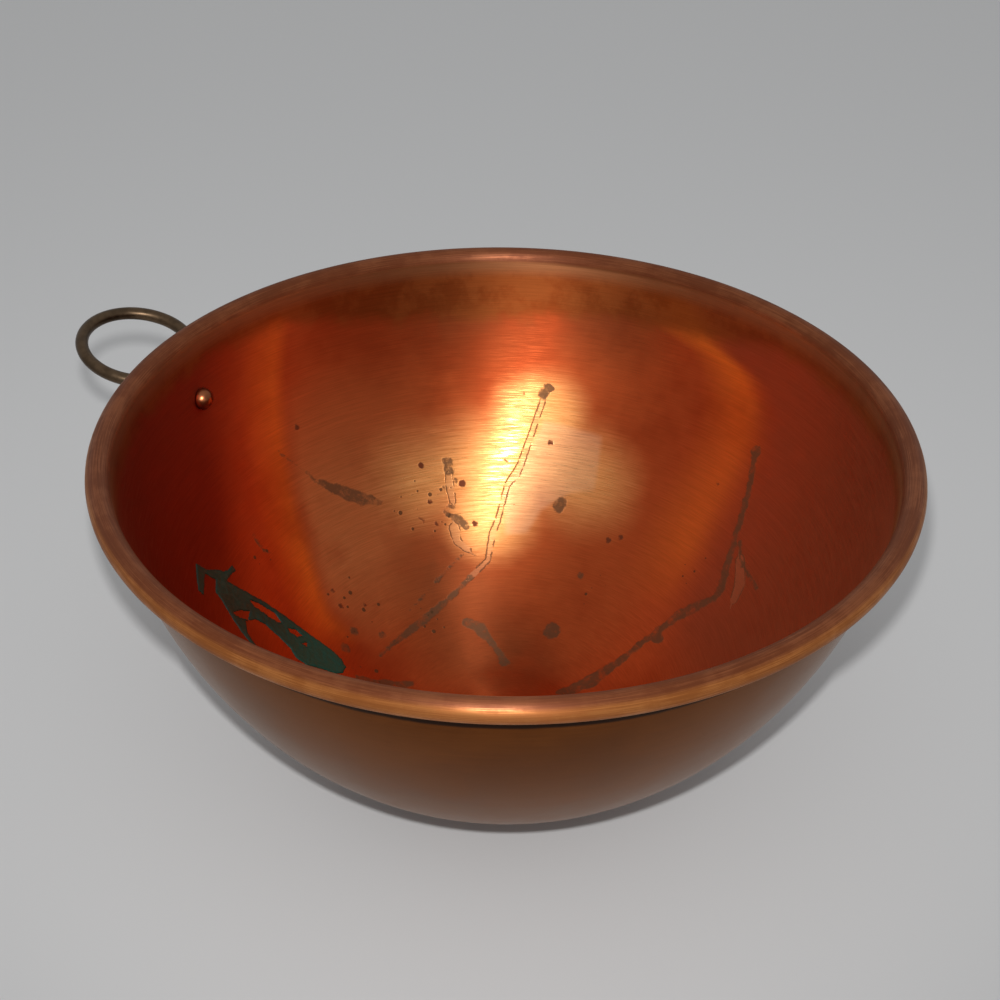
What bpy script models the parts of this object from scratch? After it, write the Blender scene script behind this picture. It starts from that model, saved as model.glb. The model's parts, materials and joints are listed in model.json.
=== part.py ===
"""Copper mixing bowl with a rolled rim and a hanging ring on a riveted strap.

Blender 4.5, metres, +Z up. The origin is on the bowl's axis, on the plane that the base rests on.
The ring hangs on the -X side, so the bowl is symmetric about the XZ plane.
"""
import math

import bmesh
import bpy
from mathutils import Matrix

# Driving dimensions, in metres.
SHEET = 0.001
GAP = 0.0003

RIM_RADIUS = 0.1525
BEAD_RADIUS = 0.0043
BEAD_CURL_END = math.radians(-138)
WALL_LEAN_AT_RIM = math.radians(8.9)
WALL_ASPECT = 1.181

BASE_BLEND_RADIUS = 0.030
BASE_BLEND_ANGLE = math.radians(18)

RIM_WIRE_RADIUS = 0.0029

RIVET_DEPTH_BELOW_BEAD = 0.0229
SHANK_RADIUS = 0.00275
HEAD_RADIUS = 0.0045
HEAD_EDGE = 0.0005
HEAD_DOME = 0.0035
HEAD_GAP = 0.0005
TAIL_RADIUS = 0.0037
TAIL_EDGE = 0.0004
TAIL_DOME = 0.0017
WASHER_RADIUS = 0.0042
WASHER_THICKNESS = 0.001

STRAP_WIDTH = 0.009
STRAP_SHEET = 0.001
STRAP_LEG_BELOW_RIVET = 0.0065
EYE_HEIGHT_ABOVE_RIVET = 0.0128
EYE_CENTRELINE_RADIUS = 0.00375
STRAP_THROAT_RADIUS = 0.0016

RING_RADIUS = 0.0224
RING_WIRE_RADIUS = 0.0026
RING_REST_TILT = math.radians(13.1)

# Facets: how finely each round shape is divided.
BOWL_STEPS = 72
WALL_SEGMENTS = 14
BLEND_SEGMENTS = 3
BEAD_SEGMENTS = 11
SMALL_ROUND_STEPS = 24
DOME_SEGMENTS = 6
EYE_SEGMENTS = 12
THROAT_SEGMENTS = 4
RING_SEGMENTS = 48
RING_WIRE_SIDES = 12
RIM_WIRE_SIDES = 8

MERGE_DISTANCE = 0.00001
SMOOTH_ANGLE = math.radians(35)

COPPER = (0.62, 0.23, 0.10)
DARK_COPPER = (0.50, 0.20, 0.10)
DARK_BRASS = (0.20, 0.14, 0.08)
STEEL = (0.35, 0.34, 0.33)


def arc(centre, radius, start, end, segments):
    """Points on an arc in a plane, from one angle to another, both ends included."""
    points = []
    for step in range(segments + 1):
        angle = start + (end - start) * step / segments
        points.append((centre[0] + radius * math.cos(angle), centre[1] + radius * math.sin(angle)))
    return points


def dome(base_radius, height, segments):
    """A spherical cap's outline from its edge to its top, as (radius, height) points."""
    sphere = (base_radius ** 2 + height ** 2) / (2 * height)
    edge_angle = math.atan2(sphere - height, base_radius)
    return arc((0.0, height - sphere), sphere, edge_angle, math.pi / 2, segments)


class BowlWall:
    """The middle line of the bowl's sheet: flat base, blend, elliptical wall and rolled bead."""

    def __init__(self):
        self.bead_centreline = BEAD_RADIUS - SHEET / 2
        self.bead_start = math.pi - WALL_LEAN_AT_RIM
        self.bead_centre_radius = RIM_RADIUS - BEAD_RADIUS
        self.top_angle = math.atan(1 / (WALL_ASPECT * math.tan(WALL_LEAN_AT_RIM)))
        self.foot_angle = math.atan(math.tan(BASE_BLEND_ANGLE) / WALL_ASPECT)
        rim_radius = self.bead_centre_radius + self.bead_centreline * math.cos(self.bead_start)
        self.half_width = rim_radius / math.sin(self.top_angle)
        self.half_height = self.half_width * WALL_ASPECT
        blend_height = BASE_BLEND_RADIUS * (1 - math.cos(BASE_BLEND_ANGLE))
        foot_height = SHEET / 2 + blend_height
        self.centre_height = foot_height + self.half_height * math.cos(self.foot_angle)
        foot_radius = self.half_width * math.sin(self.foot_angle)
        self.flat_radius = foot_radius - BASE_BLEND_RADIUS * math.sin(BASE_BLEND_ANGLE)
        rim_height = self.ellipse_point(self.top_angle)[1]
        self.bead_height = rim_height - self.bead_centreline * math.sin(self.bead_start)

    def ellipse_point(self, angle):
        """A point of the wall; the angle is 0 at the bottom and grows towards the rim."""
        radius = self.half_width * math.sin(angle)
        height = self.centre_height - self.half_height * math.cos(angle)
        return radius, height

    def lean(self, angle):
        """How far the wall leans outwards from the vertical at a point of the ellipse."""
        return math.atan2(self.half_width * math.cos(angle), self.half_height * math.sin(angle))

    def angle_at_height(self, height):
        return math.acos((self.centre_height - height) / self.half_height)

    def profile(self):
        """The whole middle line, from the axis at the base to the curled edge under the bead."""
        blend_centre = (self.flat_radius, SHEET / 2 + BASE_BLEND_RADIUS)
        blend_start = -math.pi / 2
        points = [(0.0, SHEET / 2)]
        points += arc(
            blend_centre, BASE_BLEND_RADIUS, blend_start, blend_start + BASE_BLEND_ANGLE, BLEND_SEGMENTS
        )
        for step in range(1, WALL_SEGMENTS):
            share = step / WALL_SEGMENTS
            angle = self.foot_angle + (self.top_angle - self.foot_angle) * share
            points.append(self.ellipse_point(angle))
        bead_centre = (self.bead_centre_radius, self.bead_height)
        points += arc(bead_centre, self.bead_centreline, self.bead_start, BEAD_CURL_END, BEAD_SEGMENTS)
        return points


def clear_scene():
    for obj in list(bpy.data.objects):
        bpy.data.objects.remove(obj, do_unlink=True)


def new_collection(name):
    collection = bpy.data.collections.new(name)
    bpy.context.scene.collection.children.link(collection)
    return collection


def metal(name, colour, roughness):
    material = bpy.data.materials.new(name)
    material.use_nodes = True
    shader = material.node_tree.nodes["Principled BSDF"]
    shader.inputs["Base Color"].default_value = (*colour, 1.0)
    shader.inputs["Metallic"].default_value = 1.0
    shader.inputs["Roughness"].default_value = roughness
    return material


def add_object(name, mesh, collection, material=None, parent=None):
    obj = bpy.data.objects.new(name, mesh)
    collection.objects.link(obj)
    if material:
        mesh.materials.append(material)
    if parent:
        obj.parent = parent
    return obj


def smooth(mesh):
    mesh.shade_smooth()
    mesh.set_sharp_from_angle(angle=SMOOTH_ANGLE)


def add_empty(name, collection, parent=None):
    empty = bpy.data.objects.new(name, None)
    empty.empty_display_size = 0.01
    collection.objects.link(empty)
    if parent:
        empty.parent = parent
    return empty


def line_mesh(name, points, closed):
    """A mesh of edges in the XZ plane through (x, z) points."""
    shape = bmesh.new()
    vertices = [shape.verts.new((x, 0.0, z)) for x, z in points]
    for first, second in zip(vertices, vertices[1:]):
        shape.edges.new((first, second))
    if closed:
        shape.edges.new((vertices[-1], vertices[0]))
    mesh = bpy.data.meshes.new(name)
    shape.to_mesh(mesh)
    shape.free()
    return mesh


def turn(obj, steps):
    """Turns the object's outline about its Z axis."""
    screw = obj.modifiers.new("turn", "SCREW")
    screw.steps = steps
    screw.render_steps = steps
    screw.use_merge_vertices = True
    screw.merge_threshold = MERGE_DISTANCE
    screw.use_smooth_shade = True
    return screw


def thicken(obj, thickness):
    solidify = obj.modifiers.new("sheet", "SOLIDIFY")
    solidify.thickness = thickness
    solidify.offset = 0.0
    solidify.use_even_offset = True


def cut(obj, cutter):
    boolean = obj.modifiers.new("hole", "BOOLEAN")
    boolean.operation = "DIFFERENCE"
    boolean.solver = "EXACT"
    boolean.object = cutter


def torus(name, major, minor, major_segments, minor_segments, collection, material, parent=None):
    bpy.ops.mesh.primitive_torus_add(
        major_radius=major,
        minor_radius=minor,
        major_segments=major_segments,
        minor_segments=minor_segments,
        location=(0.0, 0.0, 0.0),
    )
    obj = bpy.context.object
    for owner in list(obj.users_collection):
        owner.objects.unlink(obj)
    collection.objects.link(obj)
    obj.name = name
    obj.data.name = name
    obj.data.materials.append(material)
    smooth(obj.data)
    if parent:
        obj.parent = parent
    return obj


def rivet_hole_cutter(cutters, fixing):
    """A round bar along the rivet's line, a little wider than the shank."""
    reach = 0.02
    shape = bmesh.new()
    bmesh.ops.create_cone(
        shape,
        cap_ends=True,
        segments=SMALL_ROUND_STEPS,
        radius1=SHANK_RADIUS + GAP,
        radius2=SHANK_RADIUS + GAP,
        depth=reach,
        matrix=Matrix.Rotation(math.pi / 2, 4, "Y"),
    )
    mesh = bpy.data.meshes.new("rivet_hole")
    shape.to_mesh(mesh)
    shape.free()
    cutter = add_object("rivet_hole", mesh, cutters, parent=fixing)
    cutter.hide_render = True
    cutter.display_type = "WIRE"
    return cutter


def make_bowl_shell(wall, collection, cutter):
    """One spun sheet: the base, the wall and the rim rolled outwards into an open bead."""
    mesh = line_mesh("bowl_shell", wall.profile(), closed=False)
    shell = add_object("bowl_shell", mesh, collection, metal("brushed_copper", COPPER, 0.32))
    turn(shell, BOWL_STEPS)
    thicken(shell, SHEET)
    cut(shell, cutter)


def make_rim_wire(wall, collection):
    """The steel wire that the rim is rolled around."""
    wire = torus(
        "rim_wire",
        wall.bead_centre_radius,
        RIM_WIRE_RADIUS,
        BOWL_STEPS,
        RIM_WIRE_SIDES,
        collection,
        metal("rim_steel", STEEL, 0.45),
    )
    wire.location.z = wall.bead_height


def make_rivet(collection, fixing):
    """Round head inside the bowl, shank through wall and strap, and a low set head outside."""
    outer_stack = 3 * GAP + 2 * STRAP_SHEET + WASHER_THICKNESS
    tail_seat = outer_stack + GAP
    tail_edge = tail_seat + TAIL_EDGE
    head_seat = -SHEET - HEAD_GAP
    head_edge = head_seat - HEAD_EDGE
    tail = [(radius, tail_edge + height) for radius, height in dome(TAIL_RADIUS, TAIL_DOME, DOME_SEGMENTS)]
    head = [(radius, head_edge - height) for radius, height in dome(HEAD_RADIUS, HEAD_DOME, DOME_SEGMENTS)]
    outline = list(reversed(tail))
    outline += [(TAIL_RADIUS, tail_seat), (SHANK_RADIUS, tail_seat)]
    outline += [(SHANK_RADIUS, head_seat), (HEAD_RADIUS, head_seat)]
    outline += head
    mesh = line_mesh("rivet", outline, closed=False)
    rivet = add_object("rivet", mesh, collection, metal("rivet_copper", COPPER, 0.25), fixing)
    rivet.rotation_euler.y = math.pi / 2
    turn(rivet, SMALL_ROUND_STEPS)


def make_rivet_washer(collection, fixing):
    """The burr that the rivet's outer end is set over."""
    inner = SHANK_RADIUS + GAP
    bottom = 3 * GAP + 2 * STRAP_SHEET
    top = bottom + WASHER_THICKNESS
    chamfer = 0.0002
    outline = [
        (inner, top),
        (WASHER_RADIUS - chamfer, top),
        (WASHER_RADIUS, top - chamfer),
        (WASHER_RADIUS, bottom),
        (inner, bottom),
    ]
    mesh = line_mesh("rivet_washer", outline, closed=True)
    material = metal("washer_copper", DARK_COPPER, 0.4)
    washer = add_object("rivet_washer", mesh, collection, material, fixing)
    washer.rotation_euler.y = math.pi / 2
    turn(washer, SMALL_ROUND_STEPS)


def strap_centreline():
    """The folded strip seen from the side: inner leg, eye, throat bend and outer leg."""
    inner_leg = GAP + STRAP_SHEET / 2
    outer_leg = inner_leg + STRAP_SHEET + GAP
    eye = (inner_leg + EYE_CENTRELINE_RADIUS, EYE_HEIGHT_ABOVE_RIVET)
    throat_top = eye[1] - EYE_CENTRELINE_RADIUS
    throat_centre = (outer_leg + STRAP_THROAT_RADIUS, throat_top - STRAP_THROAT_RADIUS)
    points = [(inner_leg, -STRAP_LEG_BELOW_RIVET)]
    points += arc(eye, EYE_CENTRELINE_RADIUS, math.pi, -math.pi / 2, EYE_SEGMENTS)
    points += arc(throat_centre, STRAP_THROAT_RADIUS, math.pi / 2, math.pi, THROAT_SEGMENTS)
    points.append((outer_leg, -STRAP_LEG_BELOW_RIVET))
    return points


def make_ring_strap(collection, fixing, cutter):
    """A strip of brass folded around the ring, with both legs under the rivet."""
    mesh = line_mesh("ring_strap", strap_centreline(), closed=False)
    shape = bmesh.new()
    shape.from_mesh(mesh)
    made = bmesh.ops.extrude_edge_only(shape, edges=shape.edges[:])
    moved = [part for part in made["geom"] if isinstance(part, bmesh.types.BMVert)]
    bmesh.ops.translate(shape, verts=moved, vec=(0.0, STRAP_WIDTH, 0.0))
    bmesh.ops.translate(shape, verts=shape.verts[:], vec=(0.0, -STRAP_WIDTH / 2, 0.0))
    bmesh.ops.recalc_face_normals(shape, faces=shape.faces[:])
    shape.to_mesh(mesh)
    shape.free()
    smooth(mesh)
    strap = add_object("ring_strap", mesh, collection, metal("strap_brass", DARK_BRASS, 0.45), fixing)
    thicken(strap, STRAP_SHEET)
    cut(strap, cutter)


def ring_pivot_to_centre():
    """The ring curves inside the eye, so its pivot is half of that curve's rise nearer its centre."""
    rise = RING_RADIUS - math.sqrt(RING_RADIUS ** 2 - (STRAP_WIDTH / 2) ** 2)
    return RING_RADIUS - rise / 2


def make_hanging_ring(collection, pivot):
    """The brass ring, closed, running through the strap's eye."""
    ring = torus(
        "hanging_ring",
        RING_RADIUS,
        RING_WIRE_RADIUS,
        RING_SEGMENTS,
        RING_WIRE_SIDES,
        collection,
        metal("ring_brass", DARK_BRASS, 0.4),
        pivot,
    )
    ring.location.x = ring_pivot_to_centre()


def add_fixing_frame(wall, collection):
    """An empty where the rivet leaves the wall, with its X axis along the wall's outward normal."""
    angle = wall.angle_at_height(wall.bead_height - RIVET_DEPTH_BELOW_BEAD)
    radius, height = wall.ellipse_point(angle)
    lean = wall.lean(angle)
    outside = SHEET / 2
    fixing = add_empty("fixing_frame", collection)
    fixing.location = (
        -(radius + outside * math.cos(lean)),
        0.0,
        height - outside * math.sin(lean),
    )
    fixing.rotation_euler = (0.0, lean, math.pi)
    return fixing, lean


def add_ring_pivot(collection, fixing, lean):
    """An empty on the ring's pivot axis, with its X axis towards the ring's centre."""
    pivot = add_empty("ring_pivot", collection, fixing)
    pivot.location = (GAP + STRAP_SHEET / 2 + EYE_CENTRELINE_RADIUS, 0.0, EYE_HEIGHT_ABOVE_RIVET)
    pivot.rotation_euler.y = -(lean + RING_REST_TILT)
    return pivot


def main():
    clear_scene()
    bowl = new_collection("mixing_bowl")
    cutters = new_collection("cutters")
    wall = BowlWall()
    fixing, lean = add_fixing_frame(wall, bowl)
    pivot = add_ring_pivot(bowl, fixing, lean)
    cutter = rivet_hole_cutter(cutters, fixing)
    make_bowl_shell(wall, bowl, cutter)
    make_rim_wire(wall, bowl)
    make_ring_strap(bowl, fixing, cutter)
    make_rivet(bowl, fixing)
    make_rivet_washer(bowl, fixing)
    make_hanging_ring(bowl, pivot)
    bpy.context.view_layer.update()


main()
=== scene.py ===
"""Looks of the copper mixing bowl: brushed, tarnished copper with dried drips, a dark brass ring,
a pale floor, a small lamp just over the camera and soft room light."""
import json
import math

import bmesh
import bpy
import numpy as np
from mathutils import Matrix, Vector, noise


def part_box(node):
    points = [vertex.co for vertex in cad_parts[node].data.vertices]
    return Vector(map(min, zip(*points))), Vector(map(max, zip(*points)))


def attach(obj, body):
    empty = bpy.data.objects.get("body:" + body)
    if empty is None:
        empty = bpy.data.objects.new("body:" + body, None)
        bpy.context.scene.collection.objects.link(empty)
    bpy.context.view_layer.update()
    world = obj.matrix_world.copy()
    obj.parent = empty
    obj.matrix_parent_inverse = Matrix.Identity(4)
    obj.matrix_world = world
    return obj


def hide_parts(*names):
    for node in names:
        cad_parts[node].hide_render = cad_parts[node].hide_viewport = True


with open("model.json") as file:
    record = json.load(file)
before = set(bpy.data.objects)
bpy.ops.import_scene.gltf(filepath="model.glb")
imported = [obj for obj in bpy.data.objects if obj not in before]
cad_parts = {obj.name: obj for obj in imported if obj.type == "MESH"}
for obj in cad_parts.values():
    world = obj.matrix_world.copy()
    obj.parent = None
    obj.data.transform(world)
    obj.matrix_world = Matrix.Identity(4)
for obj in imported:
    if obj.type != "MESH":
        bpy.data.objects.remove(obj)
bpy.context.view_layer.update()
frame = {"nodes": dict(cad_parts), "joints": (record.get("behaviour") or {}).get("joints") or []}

# Sizes shared with the CAD part, in metres.
SHEET = 0.001
GAP = 0.0003
RIM_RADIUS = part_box("bowl_shell")[1].x
BEAD_RADIUS = 0.0043
BEAD_CURL_END = math.radians(-138)
WALL_LEAN_AT_RIM = math.radians(8.9)
WALL_ASPECT = 1.181
BASE_BLEND_RADIUS = 0.030
BASE_BLEND_ANGLE = math.radians(18)
RIVET_DEPTH_BELOW_BEAD = 0.0229
RING_PIVOT = Vector(frame["joints"][0]["pos_m"])
RING_RADIUS = 0.0224
RING_WIRE_RADIUS = 0.0026
RING_REST_TILT = math.radians(13.1)
STRAP_WIDTH = 0.009
STRAP_SHEET = 0.001
STRAP_LEG_BELOW_RIVET = 0.0065
EYE_HEIGHT_ABOVE_RIVET = 0.0128
EYE_CENTRELINE_RADIUS = 0.00375
STRAP_THROAT_RADIUS = 0.0016
SHANK_RADIUS = 0.00275
HEAD_RADIUS = 0.0045
HEAD_HEIGHT = 0.0040
TAIL_RADIUS = 0.0037
TAIL_HEIGHT = 0.0021
WASHER_RADIUS = 0.0042
WASHER_THICKNESS = 0.001

# Fineness of the turned meshes.
BOWL_STEPS = 420
INNER_WALL_POINTS = 124
OUTER_WALL_POINTS = 32
BEAD_POINTS = 20
SMALL_STEPS = 48

MM = 0.001
FAR = 9.0  # millimetres: the distance given to places that no mark is near

# Camera and light.
VIEW_AZIMUTH = math.radians(27.6)
CAMERA_PITCH = math.radians(34.8)
CAMERA_ROLL = math.radians(-0.8)
CAMERA_DISTANCE = 0.678
CAMERA_AIM_RIGHT = -0.0021
CAMERA_AIM_HEIGHT = 0.1112
LENS = 64.8
LAMP_ABOVE_CAMERA = 0.041
LAMP_LEFT_OF_CAMERA = 0.007
LAMP_LIFT = math.radians(3)

# Marks on the inner wall. A place is an azimuth in degrees and a distance in millimetres along the
# wall from the bowl's middle. A stroke is a list of (azimuth, distance, half-width in millimetres).
OUTLINED_STROKES = [
    [(110, 158, 1.2), (112, 142, 1.3), (114, 128, 1.5), (115, 124, 1.9), (117, 119, 1.2)],
    [(117, 119, 1.2), (119.4, 103, 1.2), (121, 97, 1.4), (122.7, 85, 1.1), (129.3, 77.6, 1.3)],
    [(131, 125, 1.5), (131.2, 121, 1.8), (131, 113, 1.5)],
    [(131.6, 101, 2.4), (131.6, 95, 1.7), (128.6, 90.5, 1.5)],
    [(52, 125, 2.2), (47, 118, 2.8), (45, 112, 2.0)],
]
FILLED_STROKES = [
    [(129.3, 77.6, 1.0), (140, 68.6, 1.2), (151.4, 63.7, 2.0), (164.3, 61.3, 1.3), (179, 61, 0.8)],
    [(130.3, 88.9, 0.4), (139.4, 79.9, 0.6), (149.1, 72.8, 0.4), (154.5, 70.3, 0.5)],
    [(133.2, 107.7, 0.6), (130.6, 104.6, 2.0), (128.4, 101.2, 1.6)],
    [(133.9, 109.6, 0.5), (132, 110.8, 0.7), (130.7, 110, 0.4)],
    [(63, 164, 1.6), (61, 153, 1.4), (58, 136, 1.5), (54, 119, 1.8)],
    [(54, 119, 1.8), (51, 112, 2.0), (50, 106, 1.6), (52, 100, 2.0), (55, 90, 2.4), (57, 72, 1.8)],
    [(57, 72, 1.3), (57.5, 56, 1.8), (58, 43, 3.4), (64, 30, 2.0)],
    [(53, 77, 2.0), (57, 75, 1.4)],
    [(55, 130, 0.8), (52, 125, 1.0), (42, 123, 0.8)],
    [(134, 57, 2.0), (129, 54, 2.8), (122, 44, 1.2), (116, 36, 2.2)],
    [(196, 63, 1.6), (193.6, 56, 2.2), (187.9, 47, 2.4), (181.7, 43, 1.6)],
    [(169, 161, 0.2), (165, 148, 0.3), (162, 138, 0.5)],
    [(163, 140, 0.8), (159, 132, 2.3), (153, 123, 2.9), (149, 119, 0.8)],
    [(184, 135, 0.9), (184, 128, 0.5), (182, 122, 0.4)],
    [(120, 136, 0.3), (117, 129, 0.3)],
]
BLOBS = [
    (109, 163, 2.1), (110, 160, 2.2), (131, 130.6, 2.5), (131, 127, 2.3), (103.8, 111, 2.6),
    (103, 113, 2.2), (63, 165, 2.4), (94.6, 55, 3.6), (187, 74.3, 2.3), (178.3, 75.8, 2.1),
    (170.5, 66.7, 1.9), (92.3, 83, 1.3), (132.4, 119, 1.1), (129.6, 122, 0.8),
]
RED_SPOTS = [
    (107.6, 139, 1.3), (137.2, 130.6, 1.5), (128.1, 120.2, 1.7), (136.8, 114.2, 1.2),
    (125.8, 101.9, 1.4), (136.4, 104.1, 1.1), (140.3, 108.1, 0.7), (141.2, 113, 0.6),
    (139.5, 106, 0.7), (138.4, 98.7, 0.8), (114, 160, 0.8), (88, 102, 1.4), (85, 105, 1.3),
    (162, 163, 1.4), (68, 144, 0.9), (175.5, 87.6, 1.2), (174.2, 94.6, 1.0), (168.2, 81.7, 0.9),
]
RUBBED_PATCH = [
    (109.6, 148.4), (96.7, 145.2), (95.8, 121.6), (101.4, 118.2), (108, 109), (111, 98), (117, 97),
    (118, 115), (114, 128),
]
RUBBED_MIDDLE = 104  # the azimuth where flat coordinates are true to size
SPLASHES = [
    (173, 84, 16.0), (139, 113, 15.0), (115, 117, 6.0), (85, 82, 9.0), (62, 108, 10.0),
    (145, 62, 10.0), (187, 128, 9.0), (189, 62, 8.0),
]
# Painted reflections where the inner wall shines like a bent mirror: lines of (distance, azimuth)
# for the edges of the bands.
LEFT_GLOW = [(90, 183), (104, 178), (118, 174), (137, 171), (162, 167), (186, 164), (223, 158)]
RIGHT_GLOW = [
    (90, 64), (105, 65), (123, 66.3), (167, 66.4), (183, 68.5), (192, 72), (198, 80), (223, 90),
]
# The painted highlight: the golden streak and its wider halo, as (azimuth, distance) places, and
# how far they fade out.
SHINE = [(111, 150), (113, 138), (117, 122), (122, 106)]
SHINE_FADE = 27.0
SIDE_SHINE = [(140, 124), (116, 132), (98, 126)]
SIDE_SHINE_STRENGTH = 0.65
SIDE_SHINE_FADE = 46.0
# Painted shade: darker areas above and below the streak.
LOW_SHADE = [(122, 34), (136, 60), (134, 80)]
LOW_SHADE_STRENGTH = 1.5
LOW_SHADE_FADE = 22.0
HIGH_SHADE = [(128, 200), (112, 206), (98, 200)]
HIGH_SHADE_STRENGTH = 1.2
HIGH_SHADE_FADE = 26.0
# The azimuth of the bowl's left side, for painted shade that differs between left and right.
LEFT_AZIMUTH = 195.0

# The dried crust's outline and the gaps in it, as (azimuth, distance) places.
CRUST_OUTLINE = [
    (203.4, 150), (202.0, 144), (198.8, 138.6), (197.8, 136), (196.4, 134.8), (194.6, 134.4),
    (194.6, 131.6), (196.8, 132.6), (199.2, 133.2), (197.0, 124), (194.5, 113), (193.2, 104),
    (192.4, 95), (191.8, 86), (191.4, 79), (192.2, 73), (194.6, 69.6), (198.0, 69.8), (200.2, 73),
    (201.4, 79), (203.8, 86), (203.6, 91), (201.6, 95), (200.8, 101), (200.5, 109), (201.4, 114),
    (204.4, 118), (207.4, 115.8), (209.2, 111), (209.9, 113), (208.6, 119), (206.6, 126),
    (205.0, 132), (204.6, 136), (201.8, 138), (203.2, 144), (206.2, 142.4), (208.6, 141.6),
    (208.8, 144.8), (206.2, 147.4),
]
CRUST_HOLES = [
    [
        (197.8, 120), (196.4, 115), (194.9, 108), (195.9, 103), (196.9, 105), (197.6, 111),
        (198.3, 117),
    ],
    [(205.4, 125), (202.6, 122), (200.8, 117.6), (203.6, 117.2), (205.0, 121)],
    [(195.9, 99), (194.3, 96), (194.5, 92), (196.0, 94), (196.5, 97.6)],
    [(197.2, 91), (195.2, 88.6), (196.9, 88.4)],
]
# The grid it is cut from: azimuths in degrees and distances in millimetres, with their steps.
CRUST_MIDDLE = 199.0
CRUST_AZIMUTHS = (189.0, 211.5)
CRUST_TURN = 0.2
CRUST_DISTANCES = (67.0, 152.0)
CRUST_CELL = 0.36
# In metres: its face's height above the wall at its edges, the extra height further in, and how
# far its back lies behind its face.
CRUST_EDGE = 0.00008
CRUST_RISE = 0.00026
CRUST_BACK = 0.00022

# The spun sheet's unevenness in metres: two waves, and the heights where they fade in and out.
WAVE_HEIGHTS = (0.00016, 0.00005)
WAVE_SCALES = (22.0, 60.0)
WAVES_START = 0.006
WAVES_FULL = 0.016
WAVES_FADE = 0.118
WAVES_END = 0.130


def arc(centre, radius, start, end, count):
    """count + 1 points on an arc in a plane."""
    angles = np.linspace(start, end, count + 1)
    return [(centre[0] + radius * math.cos(a), centre[1] + radius * math.sin(a)) for a in angles]


class BowlWall:
    """The middle line of the bowl's sheet, as in the CAD part, and its two offset faces."""

    def __init__(self):
        self.bead_centreline = BEAD_RADIUS - SHEET / 2
        self.bead_start = math.pi - WALL_LEAN_AT_RIM
        self.bead_centre_radius = RIM_RADIUS - BEAD_RADIUS
        self.top_angle = math.atan(1 / (WALL_ASPECT * math.tan(WALL_LEAN_AT_RIM)))
        self.foot_angle = math.atan(math.tan(BASE_BLEND_ANGLE) / WALL_ASPECT)
        rim_radius = self.bead_centre_radius + self.bead_centreline * math.cos(self.bead_start)
        self.half_width = rim_radius / math.sin(self.top_angle)
        self.half_height = self.half_width * WALL_ASPECT
        blend_height = BASE_BLEND_RADIUS * (1 - math.cos(BASE_BLEND_ANGLE))
        foot_height = SHEET / 2 + blend_height
        self.centre_height = foot_height + self.half_height * math.cos(self.foot_angle)
        foot_radius = self.half_width * math.sin(self.foot_angle)
        self.flat_radius = foot_radius - BASE_BLEND_RADIUS * math.sin(BASE_BLEND_ANGLE)
        rim_height = self.ellipse_point(self.top_angle)[1]
        self.bead_height = rim_height - self.bead_centreline * math.sin(self.bead_start)

    def ellipse_point(self, angle):
        radius = self.half_width * math.sin(angle)
        return radius, self.centre_height - self.half_height * math.cos(angle)

    def lean(self, angle):
        return math.atan2(self.half_width * math.cos(angle), self.half_height * math.sin(angle))

    def angle_at_height(self, height):
        return math.acos((self.centre_height - height) / self.half_height)

    def offset(self, side, wall_points):
        """One face of the sheet up to the bead: side is 1 for the inner face, -1 for the outer."""
        base_points = max(4, wall_points // 7)
        points = []
        for radius in np.linspace(0.0, self.flat_radius, base_points, endpoint=False):
            points.append((radius, SHEET / 2 + side * SHEET / 2))
        blend_centre = (self.flat_radius, SHEET / 2 + BASE_BLEND_RADIUS)
        blend_radius = BASE_BLEND_RADIUS - side * SHEET / 2
        start = -math.pi / 2
        points += arc(blend_centre, blend_radius, start, start + BASE_BLEND_ANGLE, base_points // 2)
        for angle in np.linspace(self.foot_angle, self.top_angle, wall_points + 1)[1:-1]:
            radius, height = self.ellipse_point(angle)
            lean = self.lean(angle)
            half = side * SHEET / 2
            points.append((radius - half * math.cos(lean), height + half * math.sin(lean)))
        return points

    def outline(self):
        """The sheet's closed outline from the axis inside to the axis outside, and how many of its
        points are on the inner face."""
        inner = self.offset(1, INNER_WALL_POINTS)
        centre = (self.bead_centre_radius, self.bead_height)
        outer_bead = arc(centre, BEAD_RADIUS, self.bead_start, BEAD_CURL_END, BEAD_POINTS)
        curl_centre = arc(centre, self.bead_centreline, BEAD_CURL_END, BEAD_CURL_END, 1)[0]
        curl_edge = arc(curl_centre, SHEET / 2, BEAD_CURL_END, BEAD_CURL_END - math.pi, 6)[1:-1]
        inner_bead = arc(centre, BEAD_RADIUS - SHEET, BEAD_CURL_END, self.bead_start, BEAD_POINTS)
        outer = self.offset(-1, OUTER_WALL_POINTS)
        outer.reverse()
        return inner + outer_bead + curl_edge + inner_bead + outer, len(inner)

    def inner_place(self, azimuth, distance):
        """The point on the inner face at an azimuth in degrees and a distance in millimetres."""
        radius = np.interp(distance * MM, self.inner_lengths, self.inner_radii)
        height = np.interp(distance * MM, self.inner_lengths, self.inner_heights)
        angle = math.radians(azimuth)
        return np.array([radius * math.cos(angle), radius * math.sin(angle), height])

    def measure_inner(self):
        points = np.array(self.offset(1, INNER_WALL_POINTS))
        steps = np.linalg.norm(np.diff(points, axis=0), axis=1)
        self.inner_lengths = np.concatenate([[0.0], np.cumsum(steps)])
        self.inner_radii = points[:, 0]
        self.inner_heights = points[:, 1]


wall = BowlWall()
wall.measure_inner()


# ---------------------------------------------------------------- meshes
def new_object(name, mesh):
    obj = bpy.data.objects.new(name, mesh)
    bpy.context.scene.collection.objects.link(obj)
    return obj


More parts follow.
